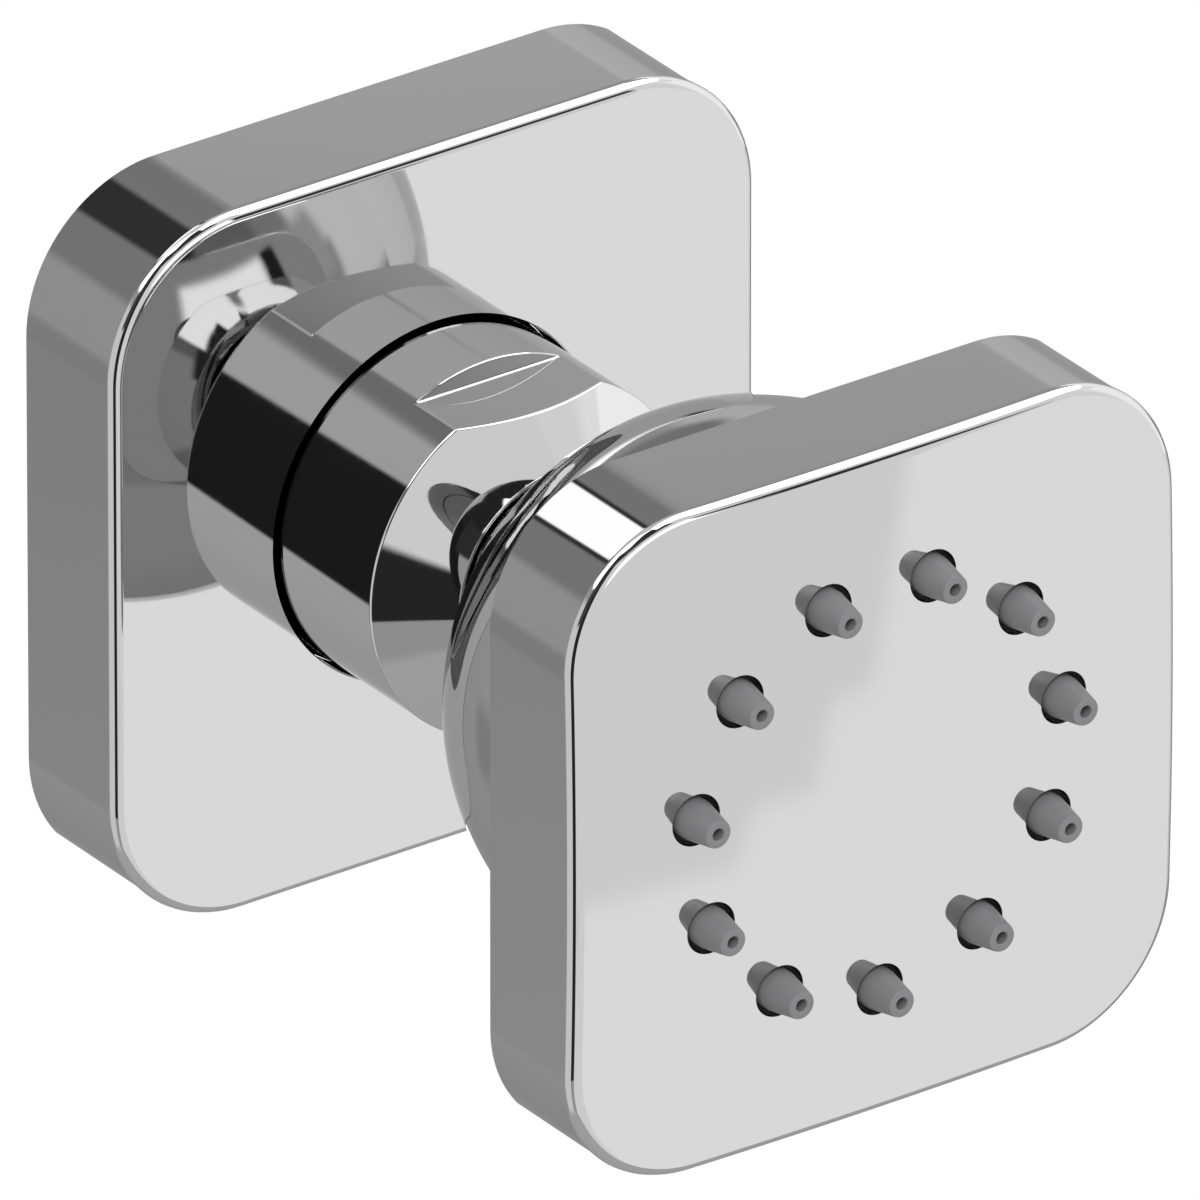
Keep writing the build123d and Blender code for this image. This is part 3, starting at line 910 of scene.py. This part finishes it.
for level, middle, width, height_middle, height, soft in TENT_PANELS:
    panel = cloth_nodes.new("ShaderNodeGroup")
    panel.node_tree = panel_group
    cloth_links.new(cloth_azimuth.outputs["Value"], panel.inputs["Azimuth"])
    cloth_links.new(cloth_elevation.outputs["Value"], panel.inputs["Elevation"])
    panel.inputs["Under"].default_value = TENT_BASE
    panel.inputs["Level"].default_value = level
    panel.inputs["Middle"].default_value = middle
    panel.inputs["Width"].default_value = width
    panel.inputs["Height Middle"].default_value = height_middle
    panel.inputs["Height"].default_value = height
    panel.inputs["Soft"].default_value = soft
    if under:
        cloth_links.new(under.outputs["Level"], panel.inputs["Under"])
    under = panel
cloth_glow = cloth_nodes.new("ShaderNodeEmission")
cloth_links.new(under.outputs["Level"], cloth_glow.inputs["Strength"])
cloth_links.new(cloth_glow.outputs["Emission"], cloth_nodes["Material Output"].inputs["Surface"])
tent.data.materials.append(cloth)

CARD_MIDDLE = Vector((-24.0, 92.4, 180.1)) * MM
CARD_FACING = Vector((0.0, 0.7269, 0.6867))
CARD_DOWN = Vector((0.0, 0.6867, -0.7269))


def card(name, level, across_from, across_to, down_from, down_to, soft, nearer=0.0):
    """A flat card above and behind the head, with a plain glow that fades out at its edges."""
    deselect()
    middle = CARD_MIDDLE - CARD_FACING * nearer
    middle = middle + Vector(((across_from + across_to) / 2, 0, 0))
    middle = middle + CARD_DOWN * (down_from + down_to) / 2
    bpy.ops.mesh.primitive_plane_add(
        size=1.0,
        location=middle,
        rotation=CARD_FACING.to_track_quat("Z", "Y").to_euler(),
    )
    sheet = bpy.context.object
    sheet.scale = (across_to - across_from + soft, down_to - down_from + soft, 1)
    sheet.name = name
    only_mirrored(sheet)
    finish, finish_shader = new_material(name)
    finish.cycles.emission_sampling = "NONE"
    nodes, links = finish.node_tree.nodes, finish.node_tree.links
    nodes.remove(finish_shader)
    place = nodes.new("ShaderNodeTexCoord")
    metres = nodes.new("ShaderNodeVectorMath")
    metres.operation = "MULTIPLY"
    metres.inputs[1].default_value = sheet.scale
    parts = nodes.new("ShaderNodeSeparateXYZ")
    shape = nodes.new("ShaderNodeGroup")
    shape.node_tree = panel_group
    shape.inputs["Level"].default_value = 1.0
    shape.inputs["Width"].default_value = across_to - across_from
    shape.inputs["Height"].default_value = down_to - down_from
    shape.inputs["Soft"].default_value = soft
    clear = nodes.new("ShaderNodeBsdfTransparent")
    glow = nodes.new("ShaderNodeEmission")
    glow.inputs["Strength"].default_value = level
    fade = nodes.new("ShaderNodeMixShader")
    links.new(place.outputs["Object"], metres.inputs[0])
    links.new(metres.outputs["Vector"], parts.inputs["Vector"])
    links.new(parts.outputs["X"], shape.inputs["Azimuth"])
    links.new(parts.outputs["Y"], shape.inputs["Elevation"])
    links.new(shape.outputs["Level"], fade.inputs["Fac"])
    links.new(clear.outputs["BSDF"], fade.inputs[1])
    links.new(glow.outputs["Emission"], fade.inputs[2])
    links.new(fade.outputs["Shader"], nodes["Material Output"].inputs["Surface"])
    sheet.data.materials.append(finish)


card("white_strip", 1.8, -77 * MM, 26 * MM, -30 * MM, 28 * MM, 9 * MM, nearer=1 * MM)
card("strip_border", 0.05, -90 * MM, 38 * MM, -32 * MM, 28 * MM, 12 * MM)
card("black_flag", 0.05, -58 * MM, 17 * MM, 31 * MM, 84 * MM, 16 * MM)

LAMP_PLACE = (-1.2, -2.0, 2.2)
LAMP_SIZE = 1.6
LAMP_WATTS = 55.0
LAMP_AIM = Vector((0, -0.04, 0))

bpy.ops.object.light_add(type="AREA", location=LAMP_PLACE)
lamp = bpy.context.object
lamp.name = "soft_lamp"
lamp.data.shape = "DISK"
lamp.data.size = LAMP_SIZE
lamp.data.energy = LAMP_WATTS
lamp.rotation_euler = (lamp.location - LAMP_AIM).to_track_quat("Z", "Y").to_euler()
lamp.visible_glossy = False

world = bpy.data.worlds.new("studio")
bpy.context.scene.world = world
world.use_nodes = True
room_nodes, room_links = world.node_tree.nodes, world.node_tree.links
room = room_nodes["Background"]
room.inputs["Color"].default_value = (1, 1, 1, 1)
room.inputs["Strength"].default_value = 0.55
backdrop = room_nodes.new("ShaderNodeBackground")
backdrop.inputs["Color"].default_value = (1, 1, 1, 1)
backdrop.inputs["Strength"].default_value = 1.0
room_path = room_nodes.new("ShaderNodeLightPath")
room_seen = room_nodes.new("ShaderNodeMath")
room_seen.operation = "MAXIMUM"
room_through = room_nodes.new("ShaderNodeMath")
room_through.operation = "MAXIMUM"
room_mix = room_nodes.new("ShaderNodeMixShader")
room_links.new(room_path.outputs["Is Camera Ray"], room_seen.inputs[0])
room_links.new(room_path.outputs["Is Glossy Ray"], room_seen.inputs[1])
room_links.new(room_seen.outputs["Value"], room_through.inputs[0])
room_links.new(room_path.outputs["Is Transmission Ray"], room_through.inputs[1])
room_links.new(room_through.outputs["Value"], room_mix.inputs["Fac"])
room_links.new(room.outputs["Background"], room_mix.inputs[1])
room_links.new(backdrop.outputs["Background"], room_mix.inputs[2])
room_links.new(room_mix.outputs["Shader"], room_nodes["World Output"].inputs["Surface"])

# Camera
# A long lens far off, as the photograph shows almost no perspective.
# Its direction and frame are those that the outlines of the two square plates gave.

PHOTO_PIXELS = 1200.0
PHOTO_AZIMUTH = radians(-35.274)
PHOTO_ELEVATION = radians(27.548)
PHOTO_DISTANCE = 4.1752
PIXELS_PER_METRE = 12292.0
FRAME_RIGHT = 13.31 * MM
FRAME_DOWN = 8.30 * MM
SENSOR_WIDTH = 36.0

away = Vector(
    (
        sin(PHOTO_AZIMUTH) * cos(PHOTO_ELEVATION),
        -cos(PHOTO_AZIMUTH) * cos(PHOTO_ELEVATION),
        sin(PHOTO_ELEVATION),
    )
)
right = Vector((cos(PHOTO_AZIMUTH), sin(PHOTO_AZIMUTH), 0))
up = away.cross(right)
plate_middle = Vector((0, -escutcheon_depth, 0))
frame_middle = plate_middle + right * FRAME_RIGHT - up * FRAME_DOWN
bpy.ops.object.camera_add(location=plate_middle + away * PHOTO_DISTANCE)
camera = bpy.context.object
camera.rotation_euler = (camera.location - frame_middle).to_track_quat("Z", "Y").to_euler()
camera.data.sensor_width = SENSOR_WIDTH
camera.data.lens = PIXELS_PER_METRE * PHOTO_DISTANCE / PHOTO_PIXELS * SENSOR_WIDTH
camera.data.clip_end = 50.0
bpy.context.scene.camera = camera

bpy.context.scene.view_settings.view_transform = "Standard"
